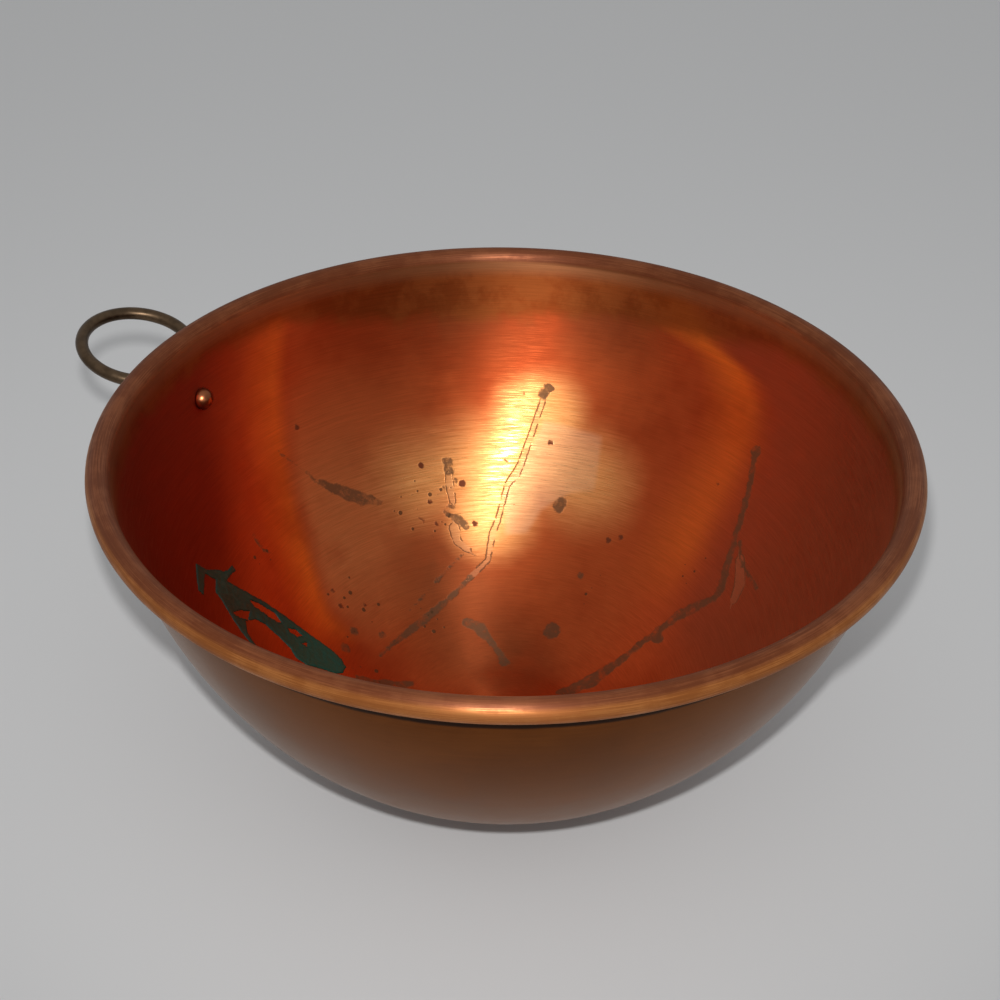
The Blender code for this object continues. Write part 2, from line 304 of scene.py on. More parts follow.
def turned_mesh(name, outline, steps):
    """Turns (radius, height) points, given down the inside and up the outside, about the Z axis."""
    count = len(outline)
    at_axis = [abs(radius) < 1e-9 for radius, _ in outline]
    vertices = []
    first = []
    for (radius, height), single in zip(outline, at_axis):
        first.append(len(vertices))
        if single:
            vertices.append((0.0, 0.0, height))
            continue
        for step in range(steps):
            angle = 2 * math.pi * step / steps
            vertices.append((radius * math.cos(angle), radius * math.sin(angle), height))
    faces = []
    closed = not (at_axis[0] and at_axis[-1])
    for row in range(count if closed else count - 1):
        after = (row + 1) % count
        for step in range(steps):
            turn = (step + 1) % steps
            low = [first[row]] if at_axis[row] else [first[row] + step, first[row] + turn]
            high = [first[after]] if at_axis[after] else [first[after] + turn, first[after] + step]
            faces.append(low + high)
    mesh = bpy.data.meshes.new(name)
    mesh.from_pydata(vertices, [], faces)
    mesh.shade_smooth()
    return mesh


def ramp(values, start, end):
    """0 at start and 1 at end, straight between them; end may be the smaller."""
    return np.clip((values - start) / (end - start), 0.0, 1.0)


def add_attribute(mesh, name, values):
    layer = mesh.attributes.new(name, "FLOAT", "POINT")
    layer.data.foreach_set("value", np.asarray(values, np.float32))


def point_array(mesh):
    points = np.zeros(len(mesh.vertices) * 3)
    mesh.vertices.foreach_get("co", points)
    return points.reshape(-1, 3)


def stroke_field(points, inward, strokes):
    """For every point: its distance to the nearest stroke's middle line, the same with a sign that
    tells the stroke's two sides apart, and the stroke's half-width there, all in millimetres."""
    distance = np.full(len(points), 1e3)
    signed = np.full(len(points), FAR)
    width = np.zeros(len(points))
    for stroke in strokes:
        places = [wall.inner_place(azimuth, along) for azimuth, along, _ in stroke]
        widths = [half_width for _, _, half_width in stroke]
        for start, end, wide_start, wide_end in zip(places, places[1:], widths, widths[1:]):
            line = end - start
            share = np.clip((points - start) @ line / (line @ line), 0.0, 1.0)
            apart = points - start - share[:, None] * line
            away = np.linalg.norm(apart, axis=1) / MM
            side = np.sign(np.einsum("ij,ij->i", np.cross(line, points - start), inward))
            nearer = away < distance
            distance[nearer] = away[nearer]
            signed[nearer] = (away * side)[nearer]
            width[nearer] = (wide_start + (wide_end - wide_start) * share)[nearer]
    margin = 2.0
    width[distance > width + margin] = 0.0
    return distance, np.clip(signed, -FAR, FAR), width


def disc_field(points, discs):
    """Distance in millimetres outside the nearest disc's edge; negative inside it."""
    field = np.full(len(points), FAR)
    for azimuth, along, radius in discs:
        away = np.linalg.norm(points - wall.inner_place(azimuth, along), axis=1) / MM
        field = np.minimum(field, away - radius)
    return field


def unroll(azimuths, distances, middle):
    """Wall places as flat millimetre coordinates, true to size near the azimuth called middle."""
    radii = np.interp(np.asarray(distances) * MM, wall.inner_lengths, wall.inner_radii) / MM
    turns = np.radians((np.asarray(azimuths) - middle + 180.0) % 360.0 - 180.0)
    return np.column_stack([turns * radii, distances])


def outline_field(flat, outline, middle):
    """Millimetres from a closed outline of (azimuth, distance) places; negative inside it."""
    azimuths, distances = zip(*outline)
    corners = unroll(azimuths, distances, middle)
    field = np.full(len(flat), 1e6)
    inside = np.zeros(len(flat), bool)
    for start, end in zip(corners, np.roll(corners, -1, axis=0)):
        line = end - start
        share = np.clip((flat - start) @ line / (line @ line), 0.0, 1.0)
        apart = flat - start - share[:, None] * line
        field = np.minimum(field, np.hypot(apart[:, 0], apart[:, 1]))
        crosses = (start[1] > flat[:, 1]) != (end[1] > flat[:, 1])
        rise = np.where(end[1] == start[1], 1.0, end[1] - start[1])
        meets = start[0] + (flat[:, 1] - start[1]) / rise * line[0]
        inside ^= crosses & (flat[:, 0] < meets)
    return np.where(inside, -field, field)


def wave(values, seed):
    """Smooth noise round the bowl for azimuths in degrees, about -0.7 to 0.7."""
    angles = np.radians(values)
    circle = 2.1  # a larger circle through the noise gives shorter waves
    spots = np.column_stack([np.cos(angles) * circle, np.sin(angles) * circle])
    return np.array([noise.noise(Vector((x, y, seed))) for x, y in spots])


def uneven(points):
    """Moves points by the slight unevenness of a hand-spun sheet, the same on both its faces."""
    radial = np.hypot(points[:, 0], points[:, 1])
    radial[radial < 1e-6] = 1.0
    waves = np.array([spun_waves(Vector(point)) for point in points])
    heights = points[:, 2]
    lift = waves * ramp(heights, WAVES_START, WAVES_FULL) * ramp(heights, WAVES_END, WAVES_FADE)
    points[:, 0] += points[:, 0] / radial * lift
    points[:, 1] += points[:, 1] / radial * lift
    return points


def apart_from(points, places):
    """Distance in millimetres from each point to a line of (azimuth, distance) places."""
    stroke = [(azimuth, along, 1.0) for azimuth, along in places]
    return stroke_field(points, points, [stroke])[0]


def beyond(azimuth, reach, line):
    """Millimetres round the wall from a line of (distance, azimuth) places, towards the left."""
    distances, azimuths = zip(*line)
    radius = np.interp(reach * MM, wall.inner_lengths, wall.inner_radii) / MM
    turn = (azimuth - np.interp(reach, distances, azimuths) + 180.0) % 360.0 - 180.0
    return np.radians(turn) * radius


def wall_tones(azimuth, reach, wall_length):
    """The broad areas of colour on the inner wall, among them painted reflections along two glow
    lines and painted shade on the side walls, for azimuths in degrees and for reaches, the
    distances along the wall from the bowl's middle, in millimetres."""
    apart = np.abs((azimuth - LEFT_AZIMUTH + 180.0) % 360.0 - 180.0)
    # Painted reflections fade away from the two glow lines; painted shade covers the side walls
    # past them.
    past_left = beyond(azimuth, reach, LEFT_GLOW)
    past_right = -beyond(azimuth, reach, RIGHT_GLOW)
    upper_fade = ramp(reach, 236.0, 196.0)
    left_strength = np.interp(reach, [70, 92, 112, 150], [0.0, 0.9, 0.9, 0.5])
    right_strength = np.interp(reach, [84, 115, 160, 190], [0.0, 0.45, 0.45, 0.85])
    left_glow = np.where(past_left > 0.0, 1.0 - past_left / 20.0, 1.0 + past_left / 7.0)
    right_glow = np.where(past_right > 0.0, 1.0 - past_right / 16.0, 1.0 + past_right / 26.0)
    glow = np.maximum(left_strength * left_glow, right_strength * right_glow) * upper_fade
    lighter = ramp(reach, 155.0, 95.0) * ramp(apart, 60.0, 30.0)
    deep_left = ramp(past_left, 8.0, 50.0) * (1.0 - lighter)
    deep_right = ramp(past_right, -8.0, 22.0)
    off_floor = ramp(reach, 60.0, 100.0)
    brown = ramp(past_left, 0.0, -12.0) * ramp(past_left, -80.0, 0.0)
    # The dark band under the rim is deeper and more ragged in the middle of the far wall.
    middle = ramp(azimuth, 66.0, 92.0) * ramp(azimuth, 158.0, 138.0)
    depth = 9.0 + 13.0 * middle
    band = reach - (wall_length - depth) - (2.0 + 7.0 * middle) * wave(azimuth, 3.7)
    return {
        "glow": np.clip(glow, 0.0, 1.0),
        "brown": brown * ramp(reach, 185.0, 135.0) * off_floor,
        "deep": np.maximum(deep_left, deep_right) * off_floor,
        "left": 0.5 + 0.5 * np.cos(np.radians(azimuth - LEFT_AZIMUTH)),
        "rim_band": band,
        "rim_share": ramp(reach, wall_length - 7.0, wall_length),
    }


def make_bowl():
    outline, inner_count = wall.outline()
    mesh = turned_mesh("copper_bowl", outline, BOWL_STEPS)
    mesh.flip_normals()
    points = point_array(mesh)
    inner_vertices = 1 + (inner_count - 1) * BOWL_STEPS
    profile = np.array(outline)
    lengths = np.concatenate([[0.0], np.cumsum(np.linalg.norm(np.diff(profile, axis=0), axis=1))])
    along = np.concatenate([[lengths[0]], np.repeat(lengths[1:-1], BOWL_STEPS), [lengths[-1]]])
    # The bead's rows end a little before the rows of the outer wall and base.
    row = np.arange(len(outline))
    bead_end = len(outline) - OUTER_WALL_POINTS - 8
    bead_rows = (row >= inner_count) & (row < bead_end)
    bead = np.concatenate([[0.0], np.repeat(bead_rows[1:-1], BOWL_STEPS), [0.0]])

    normals = np.zeros(len(points) * 3)
    mesh.vertices.foreach_get("normal", normals)
    normals = normals.reshape(-1, 3)
    inner = points[:inner_vertices]
    facing = normals[:inner_vertices]
    wall_length = wall.inner_lengths[-1] / MM
    every_reach = np.minimum(along / MM, wall_length)
    every_azimuth = np.degrees(np.arctan2(points[:, 1], points[:, 0]))
    reach = every_reach[:inner_vertices]
    azimuth = every_azimuth[:inner_vertices]

    def spread(values, default):
        full = np.full(len(points), default, float)
        full[:inner_vertices] = values
        return full

    _, signed, width = stroke_field(inner, facing, OUTLINED_STROKES)
    stain, _, stain_width = stroke_field(inner, facing, FILLED_STROKES)
    stain = np.where(stain_width > 0, stain - stain_width, FAR)
    stain = np.minimum(stain, disc_field(inner, BLOBS))
    flat = unroll(azimuth, reach, RUBBED_MIDDLE)
    rubbed = outline_field(flat, RUBBED_PATCH, RUBBED_MIDDLE)
    add_attribute(mesh, "inside", spread(1.0, 0.0))
    add_attribute(mesh, "bead", bead)
    from_axis = np.maximum(np.linalg.norm(points[:, :2], axis=1), 1e-6)
    outward = (normals[:, :2] * points[:, :2]).sum(axis=1) / from_axis
    add_attribute(mesh, "outward", outward)
    add_attribute(mesh, "along", along)
    add_attribute(mesh, "trail", spread(signed, FAR))
    add_attribute(mesh, "trail_width", spread(width, 0.0))
    add_attribute(mesh, "stain", spread(stain, FAR))
    add_attribute(mesh, "red_spot", spread(disc_field(inner, RED_SPOTS), FAR))
    add_attribute(mesh, "splash", spread(disc_field(inner, SPLASHES), FAR))
    add_attribute(mesh, "rubbed", spread(np.clip(rubbed, -FAR, FAR), FAR))
    for name, values in wall_tones(every_azimuth, every_reach, wall_length).items():
        add_attribute(mesh, name, values)
    # Painted highlight along the streak and its halo.
    streak = 1.0 - apart_from(inner, SHINE) / SHINE_FADE
    halo = SIDE_SHINE_STRENGTH - apart_from(inner, SIDE_SHINE) / SIDE_SHINE_FADE
    add_attribute(mesh, "bright", spread(np.maximum(streak, halo), -1.0))
    # Painted shade above and below the streak.
    low_shade = LOW_SHADE_STRENGTH - apart_from(inner, LOW_SHADE) / LOW_SHADE_FADE
    high_shade = HIGH_SHADE_STRENGTH - apart_from(inner, HIGH_SHADE) / HIGH_SHADE_FADE
    painted_shade = np.clip(np.maximum(low_shade, high_shade), 0.0, 1.0)
    add_attribute(mesh, "painted_shade", spread(painted_shade, 0.0))
    mesh.vertices.foreach_set("co", uneven(points).ravel())
    mesh.update()
    return new_object("copper_bowl", mesh)


def make_crust():
    """The dried green crust: a thin flake on the inner wall with gaps in it and a lumpy top. It is
    cut from a fine grid on the wall, whose border points are moved onto the outlines."""
    distances = np.arange(*CRUST_DISTANCES, CRUST_CELL)
    azimuths = np.arange(*CRUST_AZIMUTHS, CRUST_TURN)
    grid_azimuth, grid_distance = np.meshgrid(azimuths, distances)
    flat = unroll(grid_azimuth.ravel(), grid_distance.ravel(), CRUST_MIDDLE)
    ragged = np.array([noise.noise(Vector((x * 0.8, y * 0.8, 1.3))) for x, y in flat])
    field = outline_field(flat, CRUST_OUTLINE, CRUST_MIDDLE) + 0.3 * ragged
    for hole in CRUST_HOLES:
        field = np.maximum(field, 0.5 * ragged - outline_field(flat, hole, CRUST_MIDDLE))
    field = field.reshape(grid_azimuth.shape)
    middles = (field[:-1, :-1] + field[1:, :-1] + field[:-1, 1:] + field[1:, 1:]) / 4
    kept = np.argwhere(middles < 0.0)

    radii = np.interp(grid_distance * MM, wall.inner_lengths, wall.inner_radii) / MM
    slope_along, slope_turn = np.gradient(field)
    across = slope_turn / (np.radians(CRUST_TURN) * radii)
    down = slope_along / CRUST_CELL
    steep = np.maximum(np.hypot(across, down), 0.3) ** 2
    near = np.abs(field) < 1.3 * CRUST_CELL
    border = near & touches_edge(middles < 0.0)
    shift = np.where(border, -field / steep, 0.0)
    placed_azimuth = grid_azimuth + np.degrees(shift * across / radii)
    placed_distance = grid_distance + shift * down

    shape = bmesh.new()
    made = {}
    for row, column in kept:
        corners = []
        for place in ((row, column), (row, column + 1), (row + 1, column + 1), (row + 1, column)):
            if place not in made:
                spot = wall.inner_place(placed_azimuth[place], placed_distance[place])
                made[place] = (shape.verts.new(spot), min(0.0, field[place]) * (not border[place]))
            corners.append(made[place][0])
        shape.faces.new(corners)
    points = uneven(np.array([vertex.co for vertex, _ in made.values()]))
    for (vertex, depth), point in zip(made.values(), points):
        inward = -Vector((point[0], point[1], 0.0)).normalized()
        lean = wall.lean(wall.angle_at_height(max(point[2], 0.004)))
        inward = (inward * math.cos(lean) + Vector((0.0, 0.0, math.sin(lean)))).normalized()
        lumps = noise.noise(Vector(point) * 420.0) + 0.5 * noise.noise(Vector(point) * 1100.0)
        height = CRUST_EDGE + CRUST_RISE * min(1.0, -depth / 0.9) * (1.0 + 0.7 * lumps)
        vertex.co = Vector(point) + inward * height
    back = bmesh.ops.extrude_face_region(shape, geom=shape.faces[:], use_keep_orig=True)
    for part in back["geom"]:
        if isinstance(part, bmesh.types.BMVert):
            part.co += Vector((part.co.x, part.co.y, 0.0)).normalized() * CRUST_BACK
    bmesh.ops.recalc_face_normals(shape, faces=shape.faces[:])
    mesh = bpy.data.meshes.new("dried_crust")
    shape.to_mesh(mesh)
    shape.free()
    mesh.shade_smooth()
    return new_object("dried_crust", mesh)


def touches_edge(kept):
    """Grid points that touch both a kept cell and a dropped one."""
    padded = np.pad(kept, 1)
    corners = np.stack([padded[:-1, :-1], padded[1:, :-1], padded[:-1, 1:], padded[1:, 1:]])
    return corners.any(axis=0) & ~corners.all(axis=0)


def spun_waves(point):
    """The slight unevenness of a sheet spun by hand: long, low waves, in metres."""
    pairs = zip(WAVE_HEIGHTS, WAVE_SCALES)
    return sum(height * noise.noise(point * scale) for height, scale in pairs)


def fixing_matrix():
    """The frame where the rivet leaves the wall: X is the wall's outward normal there."""
    angle = wall.angle_at_height(wall.bead_height - RIVET_DEPTH_BELOW_BEAD)
    radius, height = wall.ellipse_point(angle)
    lean = wall.lean(angle)
    out = radius + SHEET / 2 * math.cos(lean)
    place = Vector((-out, 0.0, height - SHEET / 2 * math.sin(lean)))
    turn = Matrix.Rotation(math.pi, 4, "Z") @ Matrix.Rotation(lean, 4, "Y")
    return Matrix.Translation(place) @ turn


def dome(radius, height, count):
    """The outline of a low dome from its edge to its top."""
    sphere = (radius ** 2 + height ** 2) / (2 * height)
    edge = math.atan2(sphere - height, radius)
    return arc((0.0, height - sphere), sphere, edge, math.pi / 2, count)


def make_rivet(fixing):
    """Round head inside the bowl, shank, and a low set head outside, with softened edges."""
    stack = 3 * GAP + 2 * STRAP_SHEET + WASHER_THICKNESS
    tail_seat = stack + GAP
    head_seat = -SHEET - GAP / 2
    soft = 0.0003
    outline = [(0.0, tail_seat + TAIL_HEIGHT)]
    tail = dome(TAIL_RADIUS, TAIL_HEIGHT - soft, 12)
    outline += [(radius, tail_seat + soft + height) for radius, height in reversed(tail[:-1])]
    outline += [(TAIL_RADIUS - soft / 3, tail_seat), (SHANK_RADIUS, tail_seat)]
    outline += [(SHANK_RADIUS, head_seat), (HEAD_RADIUS - soft / 3, head_seat)]
    head = dome(HEAD_RADIUS, HEAD_HEIGHT - soft, 20)
    outline += [(radius, head_seat - soft - height) for radius, height in head[:-1]]
    outline.append((0.0, head_seat - HEAD_HEIGHT))
    mesh = turned_mesh("rivet_body", outline, SMALL_STEPS)
    # Slight dents, as on a rivet set by hand.
    points = point_array(mesh)
    for index, point in enumerate(points):
        points[index] = np.array(point) * (1.0 + 0.02 * noise.noise(Vector(point) * 420.0))
    mesh.vertices.foreach_set("co", points.ravel())
    mesh.transform(fixing @ Matrix.Rotation(math.pi / 2, 4, "Y"))
    set_outward(mesh)
    return new_object("rivet_body", mesh)


def set_outward(mesh):
    shape = bmesh.new()
    shape.from_mesh(mesh)
    bmesh.ops.recalc_face_normals(shape, faces=shape.faces[:])
    shape.to_mesh(mesh)
    shape.free()


def make_washer(fixing):
    bottom = 3 * GAP + 2 * STRAP_SHEET
    top = bottom + WASHER_THICKNESS
    inner = SHANK_RADIUS + GAP
    soft = 0.0002
    outline = [
        (inner, bottom),
        (inner, top),
        (WASHER_RADIUS - soft, top),
        (WASHER_RADIUS - soft / 3, top - soft / 3),
        (WASHER_RADIUS, top - soft),
        (WASHER_RADIUS, bottom + soft),
        (WASHER_RADIUS - soft, bottom),
    ]
    mesh = turned_mesh("washer_body", outline, SMALL_STEPS)
    mesh.transform(fixing @ Matrix.Rotation(math.pi / 2, 4, "Y"))
    set_outward(mesh)
    return new_object("washer_body", mesh)


def strap_centreline():
    """The folded strip seen from the side: inner leg, eye, throat bend and outer leg."""
    inner_leg = GAP + STRAP_SHEET / 2
    outer_leg = inner_leg + STRAP_SHEET + GAP
    eye = (inner_leg + EYE_CENTRELINE_RADIUS, EYE_HEIGHT_ABOVE_RIVET)
    throat_top = eye[1] - EYE_CENTRELINE_RADIUS
    throat_centre = (outer_leg + STRAP_THROAT_RADIUS, throat_top - STRAP_THROAT_RADIUS)
    points = [(inner_leg, -STRAP_LEG_BELOW_RIVET)]
    points += arc(eye, EYE_CENTRELINE_RADIUS, math.pi, -math.pi / 2, 28)
    points += arc(throat_centre, STRAP_THROAT_RADIUS, math.pi / 2, math.pi, 8)
    points.append((outer_leg, -STRAP_LEG_BELOW_RIVET))
    return points


def make_strap(fixing):
    """The folded brass strip, with a hole through both legs and soft edges."""
    shape = bmesh.new()
    vertices = [shape.verts.new((x, -STRAP_WIDTH / 2, z)) for x, z in strap_centreline()]
    edges = [shape.edges.new(pair) for pair in zip(vertices, vertices[1:])]
    made = bmesh.ops.extrude_edge_only(shape, edges=edges)
    moved = [part for part in made["geom"] if isinstance(part, bmesh.types.BMVert)]
    bmesh.ops.translate(shape, verts=moved, vec=(0.0, STRAP_WIDTH, 0.0))
    bmesh.ops.recalc_face_normals(shape, faces=shape.faces[:])
    mesh = bpy.data.meshes.new("strap_body")
    shape.to_mesh(mesh)
    shape.free()
    strap = new_object("strap_body", mesh)
    solidify = strap.modifiers.new("sheet", "SOLIDIFY")
    solidify.thickness = STRAP_SHEET
    solidify.offset = 0.0
    solidify.use_even_offset = True
    hole_shape = bmesh.new()
    bmesh.ops.create_cone(
        hole_shape,
        cap_ends=True,
        segments=SMALL_STEPS,
        radius1=SHANK_RADIUS + GAP,
        radius2=SHANK_RADIUS + GAP,
        depth=0.02,
        matrix=Matrix.Rotation(math.pi / 2, 4, "Y"),
    )
    hole_mesh = bpy.data.meshes.new("hole")
    hole_shape.to_mesh(hole_mesh)
    hole_shape.free()
    hole = new_object("hole", hole_mesh)
    boolean = strap.modifiers.new("hole", "BOOLEAN")
    boolean.object = hole
    bevel = strap.modifiers.new("edges", "BEVEL")
    bevel.width = 0.00018
    bevel.segments = 2
    bevel.limit_method = "ANGLE"
    bevel.angle_limit = math.radians(50)
    bpy.context.view_layer.update()
    evaluated = strap.evaluated_get(bpy.context.evaluated_depsgraph_get())
    final = bpy.data.meshes.new_from_object(evaluated)
    strap.modifiers.clear()
    strap.data = final
    bpy.data.objects.remove(hole)
    final.transform(fixing)
    final.shade_smooth()
    final.set_sharp_from_angle(angle=math.radians(40))
    return strap


def make_ring():
    """The hand-bent ring: a round wire, a little uneven, swept round the ring's circle."""
    major_steps = 160
    wire_steps = 28
    rise = RING_RADIUS - math.sqrt(RING_RADIUS ** 2 - (STRAP_WIDTH / 2) ** 2)
    to_centre = RING_RADIUS - rise / 2
    tilt = Matrix.Rotation(math.pi, 4, "Z") @ Matrix.Rotation(-RING_REST_TILT, 4, "Y")
    place = Matrix.Translation(RING_PIVOT) @ tilt @ Matrix.Translation((to_centre, 0.0, 0.0))
    vertices = []
    for step in range(major_steps):
        turn = 2 * math.pi * step / major_steps
        # The wire keeps its full thickness where the eye holds it and is a little uneven beyond.
        away = abs(math.remainder(turn - math.pi, 2 * math.pi))
        free = min(1.0, max(0.0, (away - 0.35) / 0.3))
        for side in range(wire_steps):
            angle = 2 * math.pi * side / wire_steps
            around = Vector((math.cos(turn), math.sin(turn), math.sin(angle)))
            wire = RING_WIRE_RADIUS * (1.0 - free * 0.025 * (1.0 + noise.noise(around * 3.1)))
            radius = RING_RADIUS + wire * math.cos(angle)
            height = wire * math.sin(angle)
            vertices.append((radius * math.cos(turn), radius * math.sin(turn), height))
    faces = []
    for step in range(major_steps):
        after = (step + 1) % major_steps
        for side in range(wire_steps):
            beside = (side + 1) % wire_steps
            here = step * wire_steps
            there = after * wire_steps
            faces.append((here + side, there + side, there + beside, here + beside))
    mesh = bpy.data.meshes.new("ring_body")
    mesh.from_pydata(vertices, [], faces)
    mesh.transform(place)
    mesh.shade_smooth()
    return new_object("ring_body", mesh)


# ---------------------------------------------------------------- materials
class Paint:
    """A material with a Principled shader and short ways of adding nodes to it."""

    def __init__(self, name):
        self.material = bpy.data.materials.new(name)
        self.material.use_nodes = True
        self.tree = self.material.node_tree
        self.shader = self.tree.nodes["Principled BSDF"]

    def add(self, kind, inputs=None, **settings):
        node = self.tree.nodes.new("ShaderNode" + kind)
        for name, value in settings.items():
            setattr(node, name, value)
        for name, value in (inputs or {}).items():
            self.feed(node.inputs[name], value)
        return node

    def feed(self, socket, value):
        if isinstance(value, bpy.types.NodeSocket):
            self.tree.links.new(value, socket)
        else:
            socket.default_value = value

    def set(self, **inputs):
        for name, value in inputs.items():
            self.feed(self.shader.inputs[name.replace("_", " ")], value)

    def attribute(self, name):
        return self.add("Attribute", attribute_name=name).outputs["Fac"]

    def math(self, operation, first, second=0.0):
        return self.add("Math", {0: first, 1: second}, operation=operation).outputs[0]

    def times(self, first, second):
        return self.math("MULTIPLY", first, second)

    def plus(self, first, second):
        return self.math("ADD", first, second)

    def scaled(self, vector, scale):
        inputs = {0: vector, "Scale": scale}
        return self.add("VectorMath", inputs, operation="SCALE").outputs[0]

    def upward_part(self, vector):
        return self.add("SeparateXYZ", {"Vector": vector}).outputs[2]

    def step(self, value, low, high):
        """0 below low and 1 above high, with a smooth change between; low may be the larger."""
        node = self.add(
            "MapRange",
            {"Value": value, "From Min": low, "From Max": high},
            interpolation_type="SMOOTHSTEP",
        )
        return node.outputs[0]

    def mix(self, share, first, second):
        """One colour changing to another as the share goes from 0 to 1."""
        return self.add("Mix", {0: share, 6: first, 7: second}, data_type="RGBA").outputs[2]

    def blend(self, share, first, second):
        """One number changing to another as the share goes from 0 to 1."""
        return self.add("Mix", {0: share, 2: first, 3: second}, data_type="FLOAT").outputs[0]

    def noise(self, vector, scale, detail=3.0, roughness=0.55):
        node = self.add(
            "TexNoise",
            {"Vector": vector, "Scale": scale, "Detail": detail, "Roughness": roughness},
        )
        return node.outputs[0]

    def bump(self, height, distance, strength=1.0, normal=None):
        inputs = {"Height": height, "Distance": distance, "Strength": strength}
        if normal is not None:
            inputs["Normal"] = normal
        return self.add("Bump", inputs).outputs[0]

    def place(self):
        return self.add("TexCoord").outputs["Object"]


def colour(red, green, blue):
    return (red, green, blue, 1.0)


def turned_place(paint, around, along):
    """Coordinates that stretch a noise into lines running round the bowl."""
    split = paint.add("SeparateXYZ", {"Vector": paint.place()})
    flat = paint.add("CombineXYZ", {"X": split.outputs[0], "Y": split.outputs[1]})
    unit = paint.add("VectorMath", {0: flat.outputs[0]}, operation="NORMALIZE")
    parts = paint.add("SeparateXYZ", {"Vector": paint.scaled(unit.outputs[0], around)})
    height = paint.times(paint.attribute("along"), along)
    inputs = {"X": parts.outputs[0], "Y": parts.outputs[1], "Z": height}
    return paint.add("CombineXYZ", inputs).outputs[0]


def copper_bowl_material():
    paint = Paint("copper_bowl")
    place = paint.place()
    inside = paint.attribute("inside")
    bead = paint.attribute("bead")

    # Brush lines run round the bowl; coarser ones are fewer and stronger.
    fine_lines = paint.noise(turned_place(paint, 7.0, 3400.0), 1.0, 3.0, 0.7)
    broad_lines = paint.noise(turned_place(paint, 4.0, 700.0), 1.0, 3.0)
    lines = paint.step(paint.blend(0.15, fine_lines, broad_lines), 0.34, 0.66)
    cloud = paint.noise(place, 15.0, 4.0, 0.6)
    smudge = paint.noise(place, 60.0, 5.0, 0.65)

    # Clean, lightly tarnished and browned copper inside, with a painted highlight, painted
    # reflections and painted shade laid over it.
    cloudy = paint.step(cloud, 0.38, 0.62)
    red = paint.mix(cloudy, colour(0.42, 0.068, 0.018), colour(0.54, 0.105, 0.028))
    # Painted highlight: golden copper along the streak and its halo.
    bright = paint.plus(paint.attribute("bright"), paint.blend(cloud, -0.35, 0.35))
    bright = paint.step(bright, 0.0, 0.75)
    golden = paint.mix(lines, colour(0.84, 0.33, 0.095), colour(0.98, 0.46, 0.16))
    brown = paint.times(paint.attribute("brown"), paint.step(cloud, 0.25, 0.5))
    inner = paint.mix(brown, red, colour(0.74, 0.27, 0.090))
    # Painted shade above and below the streak.
    painted_shade = paint.times(paint.attribute("painted_shade"), paint.step(cloud, 0.3, 0.5))
    inner = paint.mix(paint.times(painted_shade, 0.65), inner, colour(0.20, 0.052, 0.018))
    inner = paint.mix(bright, inner, golden)
    # Painted reflections: orange bands where the curved wall mirrors the lit wall opposite.
    glow = paint.times(paint.attribute("glow"), paint.step(cloud, 0.2, 0.55))
    inner = paint.mix(glow, inner, colour(0.92, 0.25, 0.032))
    # Painted shade: darker wine red on the side walls, darker on the left than on the right.
    deep = paint.plus(paint.attribute("deep"), paint.blend(cloud, -0.2, 0.2))
    left = paint.attribute("left")
    wine = paint.mix(left, colour(0.38, 0.090, 0.036), colour(0.28, 0.036, 0.014))
    inner = paint.mix(paint.step(deep, 0.0, 1.0), inner, wine)
    band_edge = paint.plus(paint.attribute("rim_band"), paint.blend(smudge, -6.0, 6.0))
    band = paint.step(band_edge, -4.0, 5.0)
    smudged = paint.step(smudge, 0.4, 0.6)
    olive = paint.mix(smudged, colour(0.20, 0.046, 0.009), colour(0.27, 0.072, 0.016))
    inner = paint.mix(paint.times(band, 0.8), inner, olive)
    rim_share = paint.step(paint.attribute("rim_share"), 0.0, 1.0)
    inner = paint.mix(paint.times(rim_share, 0.8), inner, colour(0.32, 0.135, 0.058))
    rubbed = paint.plus(paint.attribute("rubbed"), paint.blend(smudge, -1.2, 1.2))
    rubbed = paint.step(rubbed, 1.6, -1.6)
    inner = paint.mix(paint.times(rubbed, 0.22), inner, colour(0.90, 0.58, 0.38))

    # Brown patina outside. The rolled edge has painted light: darker on top and on its inward side,
    # and a lighter golden brown painted reflection on its outer side.
    patina = paint.step(cloud, 0.35, 0.65)
    outer = paint.mix(patina, colour(0.135, 0.035, 0.003), colour(0.180, 0.050, 0.006))
    face = paint.add("NewGeometry").outputs["Normal"]
    worn = paint.step(paint.blend(0.5, fine_lines, smudge), 0.44, 0.60)
    painted_top_shade = paint.mix(worn, colour(0.165, 0.041, 0.012), colour(0.235, 0.070, 0.024))
    golden_brown = paint.mix(worn, colour(0.32, 0.098, 0.020), colour(0.43, 0.152, 0.038))
    # Painted light: the rolled edge's colour follows which way its face points.
    upright = paint.step(paint.upward_part(face), 0.48, 0.84)
    turned_in = paint.step(paint.attribute("outward"), 0.3, 0.0)
    top = paint.math("MAXIMUM", upright, turned_in)
    rolled = paint.mix(top, golden_brown, painted_top_shade)
    base = paint.mix(inside, paint.mix(bead, outer, rolled), inner)

    # Painted shadow of the rolled edge: a near-black band on the outer wall just below it, with a
    # smudged lower limit.
    limit = paint.blend(smudge, wall.bead_height - 0.0132, wall.bead_height - 0.0118)
    under = paint.step(paint.math("SUBTRACT", paint.upward_part(place), limit), -0.0009, 0.0005)
    under = paint.times(under, paint.step(paint.plus(inside, bead), 0.4, 0.2))
    base = paint.mix(under, base, colour(0.018, 0.005, 0.002))
    base = paint.scaled(base, paint.blend(lines, 0.90, 1.09))

